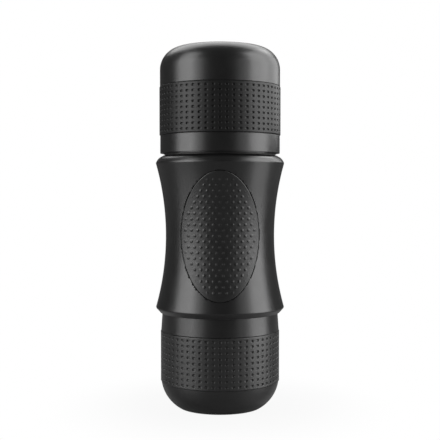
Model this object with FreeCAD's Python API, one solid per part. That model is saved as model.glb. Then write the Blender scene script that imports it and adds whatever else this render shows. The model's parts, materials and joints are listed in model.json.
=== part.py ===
"""A handheld manual espresso maker, closed and standing on its cup.

Millimetres, +Z up. The origin is the centre of the cup's base, the main axis is Z, the grip pad
faces -Y, and the pump's sleeve and piston rise towards +Y. From the bottom up it is a stack: cup,
outlet head, filter basket, gasket, main casing with the pump, tank gasket and water tank.
"""
import FreeCAD, Part
import math
import os
from FreeCAD import Vector

# Fits
GAP = 0.3  # between pieces that only stand near each other
FIT = 0.05  # radial play of a running fit
SEAT = 0.05  # between flat faces that press on each other

# Main casing
RIM_R = 31.15
RIM_LOW_Z = 48.3
RIM_TOP_Z = 118.2
WAIST_R = 26.3
WAIST_Z = (RIM_LOW_Z + RIM_TOP_Z) / 2
RIM_ROUND = 1.0
SHELL_WALL = 2.3
SKIRT_Z = 45.8  # lower edge of the skirt
SKIRT_EDGE_R = 28.85
SKIRT_BORE_R = 28.3
TOP_FACE_Z = 121.6
TOP_FACE_R = 27.2
LEDGE_LOW_Z = 113.0  # ring that carries the tank spigot
LEDGE_TOP_Z = 116.0
LEDGE_R = 17.5
SPIGOT_BORE_R = 26.0

# Grip pad, an upright oval on the front of the casing
PAD_Z = 83.8
PAD_HALF_WIDTH = 18.2
PAD_HALF_HEIGHT = 30.0
PAD_DEPTH = 1.0
PAD_PROUD = 0.35
PAD_GROOVE = 0.2

# Cup
CUP_FOOT_R = 20.3
CUP_BASE_R = 25.8  # half way up the base curve
CUP_BASE_Z = 5.3
CUP_TURN_R = 28.5  # where the base curve meets the band
CUP_LIP = 0.45
CUP_FLOOR = 2.6
CUP_BAND_LOW_Z = 12.6
CUP_BAND_TOP_Z = 37.2
CUP_BAND_R = 28.8
CUP_SHOULDER_R = 28.6
CUP_RIM_R = 28.0  # at the skirt and above
CUP_BORE_R = 25.95
CUP_SOCKET_R = 26.45  # wider bore above the step
CUP_SOCKET_Z = 43.8
CUP_RIM_Z = 49.9
BAND_THICK = 1.0
BAND_SEAT = 0.02

# Group head and its collar
GROUP_R = 28.1
GROUP_ROOF_Z = 50.0
GROUP_TOP_Z = 55.2
GROUP_FACE_Z = 51.0
COLLAR_R = 25.5
COLLAR_BORE_R = 23.75
COLLAR_LOW_Z = 40.15
COLLAR_LIP = 0.15
SEAL_WIRE_R = 0.6
SEAL_Z = 42.1

# Outlet head
HEAD_FACE_Z = 5.7
HEAD_FACE_R = 13.7
HEAD_CORNER_Z = 18.4
HEAD_CORNER_R = 24.6
HEAD_CORNER_ROUND = 12.8
HEAD_CORNER_WALL = 2.6
HEAD_TOP_Z = 39.9
HEAD_TOP_R = 25.2
HEAD_BEAD = 0.25  # bead round the upper edge
HEAD_BEAD_HEIGHT = 0.9
HEAD_DISH_Z = 7.9
HEAD_BORE_R = 21.2
HEAD_FLOOR_Z = 9.6
NECK_R = 22.8
NECK_TOP_Z = 47.4
NOZZLE_R = 4.0
NOZZLE_BORE_R = 1.5

# Filter basket, gasket and shower screen
BASKET_R = 20.8
BASKET_WALL = 0.8
BASKET_LOW_Z = 30.0
BASKET_FLANGE_R = 23.4
BASKET_TOP_Z = 48.4
GASKET_R = 23.5
GASKET_BORE_R = 19.9
SCREEN_R = 19.4
SCREEN_LOW_Z = 49.0
SCREEN_THICK = 0.8
SIEVE_HOLE_R = 0.6
SIEVE_PITCH = 4.4

# Water tank
TANK_TOP_Z = 175.0
TANK_LOW_Z = 122.3
TANK_R = 29.05
TANK_SKIRT_R = 28.95
TANK_BORE_R = 26.3
TANK_ROUND = 10.8
TANK_DOME_RISE = 1.25
TANK_ROOF = 2.5
TANK_CHAMFER = 0.7
TANK_BAND_LOW_Z = 131.3
TANK_BAND_TOP_Z = 154.8
TANK_BAND_R = 29.3

# Tank spigot
SPIGOT_R = 25.2
SPIGOT_TOP_Z = 131.0
SPIGOT_BORE = 22.6
SPIGOT_FLOOR_Z = 119.0
SPIGOT_SCREW_CIRCLE_R = 20.2
TANK_GASKET_R = 26.8

# Screw threads: ridge height and size of a turn
THREAD_HEIGHT = 0.7
THREAD_PITCH = 2.8
THREAD_BASE = 1.5
THREAD_TIP = 0.5
FINE_HEIGHT = 0.3
FINE_PITCH = 1.4
FINE_BASE = 0.7
FINE_TIP = 0.3

# Pump: its axis leaves the main axis at PUMP_Z and rises PUMP_RISE degrees towards +Y
PUMP_Z = 78.3
PUMP_RISE = 30.0
SLEEVE_R = 14.3
SLEEVE_BORE_R = 12.3
SLEEVE_START = 12.0
SLEEVE_END = 51.6
SLEEVE_MOUTH = 3.2
SLEEVE_ROUND = 1.5
GUIDE_LENGTH = 12.3
KNOB_R = 14.45
KNOB_THICK = 2.8
KNOB_ROUND = 1.1
KNOB_BOSS = 4.0
STEM_R = 9.3
STEM_BORE_R = 7.5
STEM_START = -12.0
CYLINDER_R = 6.0
CYLINDER_BORE_R = 4.05
CYLINDER_END = 22.0
CYLINDER_FLANGE_R = 8.8
CYLINDER_FLANGE_LOW = -16.0
CYLINDER_FLANGE_TOP = -12.7
ROD_R = 2.5
ROD_TIP = -12.0
ROD_HEAD = 3.2
ROD_HEAD_R = 3.8
SPRING_R = 6.75
SPRING_WIRE_R = 0.45
SPRING_TURNS = 15

# Valve block and water ways
BLOCK_LOW_X = -9.0
BLOCK_HIGH_X = 15.0
BLOCK_LOW_Y = -20.0
BLOCK_HIGH_Y = -4.0
BLOCK_TOP_Z = 69.0
BLOCK_LIMIT_R = 22.6
BLOCK_SCREW_X = 6.5
BLOCK_SCREW_Y = -17.5
BLOCK_SCREW_R = 1.25
OUTLET_Y = -13.0
INLET_X = 12.0
INLET_Y = -8.0
PORT_R = 1.5
TUBE_R = 2.0
TUBE_BORE_R = 1.1
VENT_X = -11.0


def ring_point(radius, z):
    """A point of an outline that is turned about the main axis."""
    return Vector(radius, 0, z)


def line(a, b):
    return Part.LineSegment(ring_point(*a), ring_point(*b)).toShape()


def arc(a, middle, b):
    return Part.Arc(ring_point(*a), ring_point(*middle), ring_point(*b)).toShape()


def turned(edges):
    """The solid that a closed outline of edges makes when it is turned about the main axis."""
    face = Part.Face(Part.Wire(edges))
    return face.revolve(Vector(0, 0, 0), Vector(0, 0, 1), 360)


def turned_outline(*points):
    """The same for an outline of straight edges through (radius, z) points."""
    return turned([line(a, b) for a, b in zip(points, points[1:] + points[:1])])


def cylinder(radius, low, high, x=0.0, y=0.0):
    return Part.makeCylinder(radius, high - low, Vector(x, y, low))


def tube(radius, bore, low, high, x=0.0, y=0.0):
    return cylinder(radius, low, high, x, y).cut(cylinder(bore, low, high, x, y))


def on_pump_axis(shape):
    """Moves a shape made along Z, with Z=0 where the two axes cross, onto the pump's axis."""
    moved = shape.copy()
    moved.rotate(Vector(0, 0, 0), Vector(1, 0, 0), PUMP_RISE - 90)
    moved.translate(Vector(0, 0, PUMP_Z))
    return moved


def on_circle(shape, count, radius, start=90.0):
    """Copies of a shape made at the main axis, evenly spaced on a circle."""
    copies = []
    for i in range(count):
        angle = math.radians(start + 360 / count * i)
        copy = shape.copy()
        copy.translate(Vector(radius * math.cos(angle), radius * math.sin(angle), 0))
        copies.append(copy)
    return copies


def thread(root, low, height, crest, pitch, base, tip):
    """A screw thread's ridge on a cylinder of radius root."""
    sunk = root - 0.2
    corners = [
        Vector(sunk, 0, -base / 2),
        Vector(root + crest, 0, -tip / 2),
        Vector(root + crest, 0, tip / 2),
        Vector(sunk, 0, base / 2),
    ]
    section = Part.makePolygon(corners + corners[:1])
    ridge = Part.Wire(Part.makeHelix(pitch, height, root)).makePipeShell([section], True, True)
    ridge.translate(Vector(0, 0, low))
    return ridge


def coarse_thread(root, low, height):
    return thread(root, low, height, THREAD_HEIGHT, THREAD_PITCH, THREAD_BASE, THREAD_TIP)


def sieve_holes(rings, low, high):
    """Rings of small holes about the main axis, six more in each ring."""
    hole = cylinder(SIEVE_HOLE_R, low, high)
    holes = []
    for ring in range(1, rings + 1):
        holes += on_circle(hole, 6 * ring, SIEVE_PITCH * ring)
    return Part.makeCompound(holes)


def waist_radius(z, inset=0.0):
    """Radius of the casing's hollow flank at a height, or of a surface that far inside it."""
    half = (RIM_TOP_Z - RIM_LOW_Z) / 2
    sag = RIM_R - WAIST_R
    flank = (half * half + sag * sag) / (2 * sag) + inset
    return WAIST_R - inset + flank - math.sqrt(flank * flank - (z - WAIST_Z) ** 2)


def flank(low, high, inset=0.0):
    """The casing's flank between two heights, as one arc."""
    middle = (low + high) / 2
    points = [(waist_radius(z, inset), z) for z in (low, middle, high)]
    return arc(*points)


def casing_outside(inset=0.0):
    """The solid inside the casing's outer face, or that far inside it, with no rounds."""
    low, high = RIM_LOW_Z, RIM_TOP_Z
    rim_low = waist_radius(low, inset)
    rim_high = waist_radius(high, inset)
    edges = [
        line((0, SKIRT_Z), (SKIRT_EDGE_R - inset, SKIRT_Z)),
        line((SKIRT_EDGE_R - inset, SKIRT_Z), (rim_low, low)),
        flank(low, high, inset),
        line((rim_high, high), (TOP_FACE_R - inset, TOP_FACE_Z)),
        line((TOP_FACE_R - inset, TOP_FACE_Z), (0, TOP_FACE_Z)),
        line((0, TOP_FACE_Z), (0, SKIRT_Z)),
    ]
    return turned(edges)


def casing_cavity():
    """The space inside the casing: skirt bore, hollow behind the flank, ledge and spigot bore."""
    below, above = SKIRT_Z - 1, TOP_FACE_Z + 1
    step_z = GROUP_TOP_Z + 0.3
    edges = [
        line((0, below), (SKIRT_BORE_R, below)),
        line((SKIRT_BORE_R, below), (SKIRT_BORE_R, step_z)),
        line((SKIRT_BORE_R, step_z), (waist_radius(step_z, SHELL_WALL), step_z)),
        flank(step_z, LEDGE_LOW_Z, SHELL_WALL),
        line((waist_radius(LEDGE_LOW_Z, SHELL_WALL), LEDGE_LOW_Z), (LEDGE_R, LEDGE_LOW_Z)),
        line((LEDGE_R, LEDGE_LOW_Z), (LEDGE_R, LEDGE_TOP_Z)),
        line((LEDGE_R, LEDGE_TOP_Z), (SPIGOT_BORE_R, LEDGE_TOP_Z)),
        line((SPIGOT_BORE_R, LEDGE_TOP_Z), (SPIGOT_BORE_R, above)),
        line((SPIGOT_BORE_R, above), (0, above)),
        line((0, above), (0, below)),
    ]
    return turned(edges)


def round_edges_at(shape, radius, heights):
    """Rounds the full circular edges that lie at these heights."""
    edges = []
    for edge in shape.Edges:
        box = edge.BoundBox
        if box.ZLength < 0.01 and any(abs(box.ZMin - z) < 0.01 for z in heights):
            edges.append(edge)
    return shape.makeFillet(radius, edges)


def oval_prism(margin):
    """A prism along Y through the front of the casing, with the grip pad's oval outline."""
    oval = Part.Ellipse(Vector(0, 0, 0), PAD_HALF_HEIGHT + margin, PAD_HALF_WIDTH + margin)
    face = Part.Face(Part.Wire(oval.toShape()))
    face.rotate(Vector(0, 0, 0), Vector(0, 1, 0), -90)
    face.rotate(Vector(0, 0, 0), Vector(0, 0, 1), 90)
    face.translate(Vector(0, -RIM_R - 10, PAD_Z))
    return face.extrude(Vector(0, RIM_R, 0))


def body_shell():
    """The waisted outer casing, with the pad's recess in front and the sleeve's hole behind."""
    outside = round_edges_at(casing_outside(), RIM_ROUND, [RIM_LOW_Z, RIM_TOP_Z])
    shell = outside.cut(casing_cavity())
    shell = shell.cut(on_pump_axis(cylinder(SLEEVE_R + 0.02, 0, SLEEVE_END)))
    recess = oval_prism(PAD_GROOVE).cut(casing_outside(PAD_DEPTH))
    return shell.cut(recess)


def grip_pad():
    """The oval rubber pad that lies in the casing's recess and stands a little proud of it."""
    return oval_prism(0.0).common(casing_outside(-PAD_PROUD)).cut(casing_outside(PAD_DEPTH))


def cup_base_curve(inset=0.0):
    """The curve from the foot to the wall as three points, or that far inside it."""
    slant = inset / math.sqrt(2)
    foot = (CUP_FOOT_R - 0.7 * inset, inset)
    middle = (CUP_BASE_R - slant, CUP_BASE_Z + slant)
    return foot, middle, (CUP_TURN_R - inset, CUP_BAND_LOW_Z + 0.3 * inset)


def cup_shell():
    """The cup, which is also the storage cap and the foot that the closed maker stands on."""
    foot, middle, turn = cup_base_curve()
    low_in, middle_in, turn_in = cup_base_curve(CUP_TURN_R - CUP_BORE_R)
    floor = CUP_FLOOR
    seat_r = CUP_BAND_R - BAND_THICK
    lip = CUP_LIP
    edges = [
        line((0, 0), foot),
        arc(foot, middle, turn),
        line(turn, (seat_r, CUP_BAND_LOW_Z)),
        line((seat_r, CUP_BAND_LOW_Z), (seat_r, CUP_BAND_TOP_Z)),
        line((seat_r, CUP_BAND_TOP_Z), (CUP_SHOULDER_R, CUP_BAND_TOP_Z)),
        line((CUP_SHOULDER_R, CUP_BAND_TOP_Z), (CUP_RIM_R, SKIRT_Z)),
        line((CUP_RIM_R, SKIRT_Z), (CUP_RIM_R, CUP_RIM_Z - lip)),
        line((CUP_RIM_R, CUP_RIM_Z - lip), (CUP_RIM_R - lip, CUP_RIM_Z)),
        line((CUP_RIM_R - lip, CUP_RIM_Z), (CUP_SOCKET_R + lip, CUP_RIM_Z)),
        line((CUP_SOCKET_R + lip, CUP_RIM_Z), (CUP_SOCKET_R, CUP_RIM_Z - lip)),
        line((CUP_SOCKET_R, CUP_RIM_Z - lip), (CUP_SOCKET_R, CUP_SOCKET_Z)),
        line((CUP_SOCKET_R, CUP_SOCKET_Z), (CUP_BORE_R, CUP_SOCKET_Z)),
        line((CUP_BORE_R, CUP_SOCKET_Z), turn_in),
        arc(turn_in, middle_in, (low_in[0], floor)),
        line((low_in[0], floor), (0, floor)),
        line((0, floor), (0, 0)),
    ]
    return turned(edges)


def cup_grip_band():
    return tube(CUP_BAND_R, CUP_BAND_R - BAND_THICK + BAND_SEAT, CUP_BAND_LOW_Z, CUP_BAND_TOP_Z)


def outlet_head():
    """The bell that holds the basket: threaded neck above, dished face and nozzle seat below."""
    centre_r = HEAD_CORNER_R - HEAD_CORNER_ROUND
    diagonal = HEAD_CORNER_ROUND / math.sqrt(2)
    inner_round = HEAD_CORNER_ROUND - HEAD_CORNER_WALL
    inner_low = (HEAD_BORE_R - inner_round, HEAD_FLOOR_Z)
    inner_side = (HEAD_BORE_R, HEAD_FLOOR_Z + inner_round)
    inner_middle = (HEAD_BORE_R - 0.29 * inner_round, HEAD_FLOOR_Z + 0.29 * inner_round)
    seat = NOZZLE_R
    face = (HEAD_FACE_R, HEAD_FACE_Z)
    corner = (HEAD_CORNER_R, HEAD_CORNER_Z)
    bead_r = HEAD_TOP_R + HEAD_BEAD
    bead_z = HEAD_TOP_Z - HEAD_BEAD_HEIGHT
    edges = [
        arc((seat, HEAD_DISH_Z), (0.6 * HEAD_FACE_R, HEAD_DISH_Z - 0.7), face),
        arc(face, (centre_r + diagonal, HEAD_CORNER_Z - diagonal), corner),
        line(corner, (HEAD_TOP_R, bead_z - HEAD_BEAD)),
        line((HEAD_TOP_R, bead_z - HEAD_BEAD), (bead_r, bead_z)),
        line((bead_r, bead_z), (bead_r, HEAD_TOP_Z)),
        line((bead_r, HEAD_TOP_Z), (NECK_R, HEAD_TOP_Z)),
        line((NECK_R, HEAD_TOP_Z), (NECK_R, NECK_TOP_Z)),
        line((NECK_R, NECK_TOP_Z), (HEAD_BORE_R, NECK_TOP_Z)),
        line((HEAD_BORE_R, NECK_TOP_Z), inner_side),
        arc(inner_side, inner_middle, inner_low),
        line(inner_low, (seat, HEAD_FLOOR_Z)),
        line((seat, HEAD_FLOOR_Z), (seat, HEAD_DISH_Z)),
    ]
    ridge = coarse_thread(NECK_R - 0.1, HEAD_TOP_Z + 1.6, 1.3 * THREAD_PITCH)
    return turned(edges).fuse(ridge)


def outlet_nozzle():
    """The spout insert in the middle of the head's dished face."""
    return turned_outline(
        (NOZZLE_BORE_R, HEAD_FACE_Z + 1.1),
        (NOZZLE_R - 1.0, HEAD_FACE_Z + 1.1),
        (NOZZLE_R, HEAD_FACE_Z + 1.8),
        (NOZZLE_R, HEAD_FLOOR_Z),
        (NOZZLE_R + 1.5, HEAD_FLOOR_Z),
        (NOZZLE_R + 1.5, HEAD_FLOOR_Z + 1.0),
        (NOZZLE_BORE_R, HEAD_FLOOR_Z + 1.0),
    )


def filter_basket():
    """The thin cup that holds the ground coffee, with a flange that sits on the head's neck."""
    inner = BASKET_R - BASKET_WALL
    return turned_outline(
        (BASKET_R - 2.6, BASKET_LOW_Z),
        (BASKET_R, BASKET_LOW_Z),
        (BASKET_R, NECK_TOP_Z + SEAT),
        (BASKET_FLANGE_R, NECK_TOP_Z + SEAT),
        (BASKET_FLANGE_R, BASKET_TOP_Z),
        (inner, BASKET_TOP_Z),
        (inner, BASKET_LOW_Z + BASKET_WALL),
        (BASKET_R - 2.6, BASKET_LOW_Z + BASKET_WALL),
    )


def basket_screen():
    """The perforated floor that lies in the basket."""
    low = BASKET_LOW_Z + BASKET_WALL
    high = low + SCREEN_THICK
    return cylinder(BASKET_R - BASKET_WALL - 0.02, low, high).cut(sieve_holes(4, low, high))


def group_gasket():
    return tube(GASKET_R, GASKET_BORE_R, BASKET_TOP_Z + SEAT, GROUP_FACE_Z - SEAT)


def group_head():
    """The core of the casing's lower end: flange, collar for the head and cup, and water way."""
    flange = cylinder(GROUP_R, GROUP_ROOF_Z, GROUP_TOP_Z)
    collar = cylinder(COLLAR_R, COLLAR_LOW_Z, GROUP_ROOF_Z)
    bore = cylinder(COLLAR_BORE_R, COLLAR_LOW_Z, GROUP_FACE_Z)
    ring = tube(COLLAR_R + COLLAR_LIP, COLLAR_R - 0.5, COLLAR_LOW_Z, COLLAR_LOW_Z + 0.7)
    ridge_low = CUP_SOCKET_Z + 0.6
    ridge_height = 2.4 * FINE_PITCH
    ridge = thread(COLLAR_R, ridge_low, ridge_height, FINE_HEIGHT, FINE_PITCH, FINE_BASE, FINE_TIP)
    core = flange.fuse([collar, ring, ridge]).cut(bore)
    boss = tube(4.0, 1.2, SCREEN_LOW_Z + SCREEN_THICK, GROUP_FACE_Z)
    screw_way = cylinder(1.2, GROUP_FACE_Z, GROUP_FACE_Z + 3.0)
    outlet_way = cylinder(2.6, GROUP_FACE_Z, GROUP_TOP_Z, 0, OUTLET_Y)
    groove_r = CUP_BORE_R - FIT - 2 * SEAL_WIRE_R - 0.02
    groove_half = SEAL_WIRE_R + 0.05
    seal_groove = tube(COLLAR_R + 1, groove_r, SEAL_Z - groove_half, SEAL_Z + groove_half)
    return core.fuse(boss).cut([screw_way, outlet_way, seal_groove])


def collar_o_ring():
    """The ring that grips the cup's bore."""
    ring = Part.makeTorus(CUP_BORE_R - FIT - SEAL_WIRE_R, SEAL_WIRE_R)
    ring.translate(Vector(0, 0, SEAL_Z))
    return ring


def shower_screen():
    """The perforated disc that spreads the water over the coffee."""
    low, high = SCREEN_LOW_Z, SCREEN_LOW_Z + SCREEN_THICK
    return tube(SCREEN_R, 1.2, low, high).cut(sieve_holes(4, low, high))


def screen_screw():
    return turned_outline(
        (0, SCREEN_LOW_Z - 0.9),
        (1.8, SCREEN_LOW_Z - 0.9),
        (2.4, SCREEN_LOW_Z - 0.3),
        (2.4, SCREEN_LOW_Z),
        (1.2, SCREEN_LOW_Z),
        (1.2, GROUP_FACE_Z + 2.8),
        (0, GROUP_FACE_Z + 2.8),
    )


def valve_block():
    """The block under the pump: it joins the inlet tube, the cylinder and the outlet valve."""
    size = (BLOCK_HIGH_X - BLOCK_LOW_X, BLOCK_HIGH_Y - BLOCK_LOW_Y, BLOCK_TOP_Z - GROUP_TOP_Z)
    block = Part.makeBox(*size, Vector(BLOCK_LOW_X, BLOCK_LOW_Y, GROUP_TOP_Z))
    block = block.common(cylinder(BLOCK_LIMIT_R, GROUP_TOP_Z, BLOCK_TOP_Z))
    pump_space = on_pump_axis(cylinder(STEM_R + 0.6, CYLINDER_FLANGE_TOP - 0.1, SLEEVE_END))
    flange_seat = on_pump_axis(cylinder(CYLINDER_FLANGE_R, CYLINDER_FLANGE_LOW, SLEEVE_END))
    chamber = on_pump_axis(cylinder(PORT_R, CYLINDER_FLANGE_LOW - 3.0, CYLINDER_FLANGE_LOW))
    outlet_way = cylinder(PORT_R, GROUP_TOP_Z, BLOCK_TOP_Z - 1.5, 0, OUTLET_Y)
    valve_seat = cylinder(3.2, GROUP_TOP_Z, GROUP_TOP_Z + 2.0, 0, OUTLET_Y)
    inlet_way = cylinder(PORT_R, BLOCK_TOP_Z - 6.0, BLOCK_TOP_Z, INLET_X, INLET_Y)
    tube_seat = cylinder(TUBE_R, BLOCK_TOP_Z - 3.0, BLOCK_TOP_Z, INLET_X, INLET_Y)
    cross_way = Part.makeCylinder(
        PORT_R, INLET_X, Vector(0, INLET_Y - 5.0, BLOCK_TOP_Z - 5.0), Vector(1, 0.42, 0)
    )
    screw_ways = [
        cylinder(BLOCK_SCREW_R, GROUP_TOP_Z, BLOCK_TOP_Z, x, BLOCK_SCREW_Y)
        for x in (-BLOCK_SCREW_X, BLOCK_SCREW_X)
    ]
    cuts = [pump_space, flange_seat, chamber, outlet_way, valve_seat, inlet_way, tube_seat]
    return block.cut(cuts + [cross_way] + screw_ways)


def block_screws():
    """Two screws that hold the valve block down on the group head."""
    screws = []
    for x in (-BLOCK_SCREW_X, BLOCK_SCREW_X):
        head = cylinder(2.2, BLOCK_TOP_Z, BLOCK_TOP_Z + 1.8, x, BLOCK_SCREW_Y)
        shank = cylinder(BLOCK_SCREW_R, GROUP_TOP_Z + SEAT, BLOCK_TOP_Z, x, BLOCK_SCREW_Y)
        screws.append(head.fuse(shank))
    return Part.makeCompound(screws)


def duckbill(flange_low, x, y):
    """A silicone valve: a flange above and a bill that narrows downwards."""
    body = turned_outline(
        (0.4, flange_low - 4.2),
        (0.9, flange_low - 4.2),
        (2.0, flange_low),
        (3.1, flange_low),
        (3.1, flange_low + 1.2),
        (0.8, flange_low + 1.2),
    )
    body.translate(Vector(x, y, 0))
    return body


def outlet_valve():
    return duckbill(GROUP_TOP_Z + 0.1, 0, OUTLET_Y)


def inlet_tube():
    """The silicone tube that leads water from the tank's port down to the valve block."""
    return tube(TUBE_R, TUBE_BORE_R, BLOCK_TOP_Z - 3.0, LEDGE_TOP_Z - 3.0, INLET_X, INLET_Y)


def inlet_valve():
    """The silicone valve in the spigot's inlet port; its bill points down the inlet tube."""
    flange = tube(3.1, 0.8, SPIGOT_FLOOR_Z, SPIGOT_FLOOR_Z + 1.0, INLET_X, INLET_Y)
    bill = tube(1.7, 0.8, LEDGE_TOP_Z - 2.9, SPIGOT_FLOOR_Z, INLET_X, INLET_Y)
    return flange.fuse(bill)


def vent_valve():
    """The umbrella valve that lets air into the tank as the water leaves it."""
    umbrella = turned_outline(
        (0, SPIGOT_FLOOR_Z - 4.2),
        (1.3, SPIGOT_FLOOR_Z - 3.6),
        (1.3, SPIGOT_FLOOR_Z - 3.05),
        (0.9, SPIGOT_FLOOR_Z - 3.05),
        (0.9, SPIGOT_FLOOR_Z),
        (4.0, SPIGOT_FLOOR_Z),
        (3.2, SPIGOT_FLOOR_Z + 0.7),
        (0, SPIGOT_FLOOR_Z + 1.2),
    )
    umbrella.translate(Vector(VENT_X, INLET_Y, 0))
    return umbrella


def tank_spigot():
    """The threaded spigot that the tank screws onto, with the floor that the valves sit in."""
    base = cylinder(SPIGOT_BORE_R - FIT, LEDGE_TOP_Z, TOP_FACE_Z)
    wall = cylinder(SPIGOT_R, TOP_FACE_Z, SPIGOT_TOP_Z)
    ridge = coarse_thread(SPIGOT_R, TOP_FACE_Z + 2.0, 1.9 * THREAD_PITCH)
    hollow = cylinder(SPIGOT_BORE, SPIGOT_FLOOR_Z, SPIGOT_TOP_Z)
    inlet_port = cylinder(1.7, LEDGE_TOP_Z, SPIGOT_FLOOR_Z, INLET_X, INLET_Y)
    vent_port = cylinder(0.9, LEDGE_TOP_Z, SPIGOT_FLOOR_Z, VENT_X, INLET_Y)
    screw_way = cylinder(1.2, LEDGE_TOP_Z, SPIGOT_FLOOR_Z)
    screw_ways = on_circle(screw_way, 3, SPIGOT_SCREW_CIRCLE_R)
    outside = base.fuse([wall, ridge])
    return outside.cut([hollow, inlet_port, vent_port] + screw_ways)


def spigot_screws():
    """Three screws that hold the spigot down on the casing's ledge."""
    head = cylinder(2.1, SPIGOT_FLOOR_Z, SPIGOT_FLOOR_Z + 1.5)
    recess = cylinder(1.0, SPIGOT_FLOOR_Z + 0.7, SPIGOT_FLOOR_Z + 1.5)
    shank = cylinder(1.15, LEDGE_TOP_Z + 0.02, SPIGOT_FLOOR_Z)
    screw = head.fuse(shank).cut(recess)
    return Part.makeCompound(on_circle(screw, 3, SPIGOT_SCREW_CIRCLE_R))


def tank_gasket():
    return tube(TANK_GASKET_R, SPIGOT_R + GAP, TOP_FACE_Z + SEAT, TANK_LOW_Z - SEAT)


def domed_outline(radius, top, corner, rise):
    """Edges from the axis over a domed top and down a round corner, and the corner's height."""
    reach = radius - corner
    dome = (reach * reach + rise * rise) / (2 * rise) + corner
    centre_z = top - dome + math.sqrt((dome - corner) ** 2 - reach * reach)
    lean = math.asin(reach / (dome - corner))
    meet = (dome * math.sin(lean), top - dome + dome * math.cos(lean))
    half = (dome * math.sin(lean / 2), top - dome + dome * math.cos(lean / 2))
    turn = (lean + math.pi / 2) / 2
    middle = (reach + corner * math.sin(turn), centre_z + corner * math.cos(turn))
    side = (radius, centre_z)
    return [arc((0, top), half, meet), arc(meet, middle, side)], centre_z


def tank_outside():
    top_edges, corner_z = domed_outline(TANK_R, TANK_TOP_Z, TANK_ROUND, TANK_DOME_RISE)
    edge_z = TANK_LOW_Z + TANK_CHAMFER
    edge_r = TANK_SKIRT_R - TANK_CHAMFER
    edges = top_edges + [
        line((TANK_R, corner_z), (TANK_R, TANK_BAND_LOW_Z)),
        line((TANK_R, TANK_BAND_LOW_Z), (TANK_SKIRT_R, TANK_BAND_LOW_Z)),
        line((TANK_SKIRT_R, TANK_BAND_LOW_Z), (TANK_SKIRT_R, edge_z)),
        line((TANK_SKIRT_R, edge_z), (edge_r, TANK_LOW_Z)),
        line((edge_r, TANK_LOW_Z), (0, TANK_LOW_Z)),
        line((0, TANK_LOW_Z), (0, TANK_TOP_Z)),
    ]
    return turned(edges)


def tank_shell():
    """The water tank: a deep cup that stands upside down on the casing."""
    top_edges, corner_z = domed_outline(
        TANK_BORE_R, TANK_TOP_Z - TANK_ROOF, TANK_ROUND - 2.0, TANK_DOME_RISE
    )
    cavity = turned(top_edges + [
        line((TANK_BORE_R, corner_z), (TANK_BORE_R, TANK_LOW_Z)),
        line((TANK_BORE_R, TANK_LOW_Z), (0, TANK_LOW_Z)),
        line((0, TANK_LOW_Z), (0, TANK_TOP_Z - TANK_ROOF)),
    ])
    seat = tube(TANK_BAND_R + 1, TANK_BAND_R - BAND_THICK, TANK_BAND_LOW_Z, TANK_BAND_TOP_Z)
    return tank_outside().cut([cavity, seat])


def tank_grip_band():
    bore = TANK_BAND_R - BAND_THICK + BAND_SEAT
    return tube(TANK_BAND_R, bore, TANK_BAND_LOW_Z, TANK_BAND_TOP_Z)


def pump_sleeve():
    """The sleeve that carries the piston out of the casing's back."""
    mouth = SLEEVE_END - SLEEVE_MOUTH
    outside = cylinder(SLEEVE_R, SLEEVE_START, SLEEVE_END)
    outside = round_edges_at(outside, SLEEVE_ROUND, [SLEEVE_END])
    bore = cylinder(SLEEVE_BORE_R, SLEEVE_START, mouth)
    way = cylinder(STEM_R + GAP, mouth, SLEEVE_END)
    return on_pump_axis(outside.cut([bore, way]))


def stem_guide():
    """The bush that guides the stem, pressed into the sleeve."""
    end = SLEEVE_END - SLEEVE_MOUTH
    return on_pump_axis(tube(SLEEVE_BORE_R - 0.02, STEM_R + 0.08, end - GUIDE_LENGTH, end))


def pump_cylinder():
    """The small-bore cylinder that the plunger forces the water out of."""
    barrel = cylinder(CYLINDER_R, CYLINDER_FLANGE_LOW, CYLINDER_END)
    flange = cylinder(CYLINDER_FLANGE_R - 0.05, CYLINDER_FLANGE_LOW, CYLINDER_FLANGE_TOP)
    bore = cylinder(CYLINDER_BORE_R, CYLINDER_FLANGE_LOW + 1.5, CYLINDER_END)
    port = cylinder(PORT_R, CYLINDER_FLANGE_LOW, CYLINDER_FLANGE_LOW + 1.5)
    return on_pump_axis(barrel.fuse(flange).cut([bore, port]))


def piston_spring():
    """The return spring, pressed between the cylinder's flange and the knob's boss."""
    low = CYLINDER_FLANGE_TOP + SPRING_WIRE_R + 0.1
    high = SLEEVE_END - KNOB_BOSS - SPRING_WIRE_R - 0.1
    helix = Part.Wire(Part.makeHelix((high - low) / SPRING_TURNS, high - low, SPRING_R))
    section = Part.Wire(Part.makeCircle(SPRING_WIRE_R, Vector(SPRING_R, 0, 0), Vector(0, 1, 0)))
    spring = helix.makePipeShell([section], True, True)
    spring.translate(Vector(0, 0, low))
    return on_pump_axis(spring)


def plunger_rod():
    """The thin rod inside the stem, with a grooved head that carries the seal."""
    groove_low = ROD_TIP + 0.8
    groove_high = ROD_TIP + 2.4
    head_top = ROD_TIP + ROD_HEAD
    rod = turned_outline(
        (0, ROD_TIP),
        (ROD_HEAD_R, ROD_TIP),
        (ROD_HEAD_R, groove_low),
        (ROD_R, groove_low),
        (ROD_R, groove_high),
        (ROD_HEAD_R, groove_high),
        (ROD_HEAD_R, head_top),
        (ROD_R, head_top),
        (ROD_R, SLEEVE_END + 0.5),
        (0, SLEEVE_END + 0.5),
    )
    return on_pump_axis(rod)


def plunger_seal():
    """The ring in the groove of the rod's head, sliding in the cylinder's bore."""
    return on_pump_axis(
        tube(CYLINDER_BORE_R - FIT, ROD_R + 0.02, ROD_TIP + 0.85, ROD_TIP + 2.35)
    )


def piston_stem():
    """The polished tube that slides out of the sleeve."""
    return on_pump_axis(tube(STEM_R, STEM_BORE_R, STEM_START, SLEEVE_END + SEAT))


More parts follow.
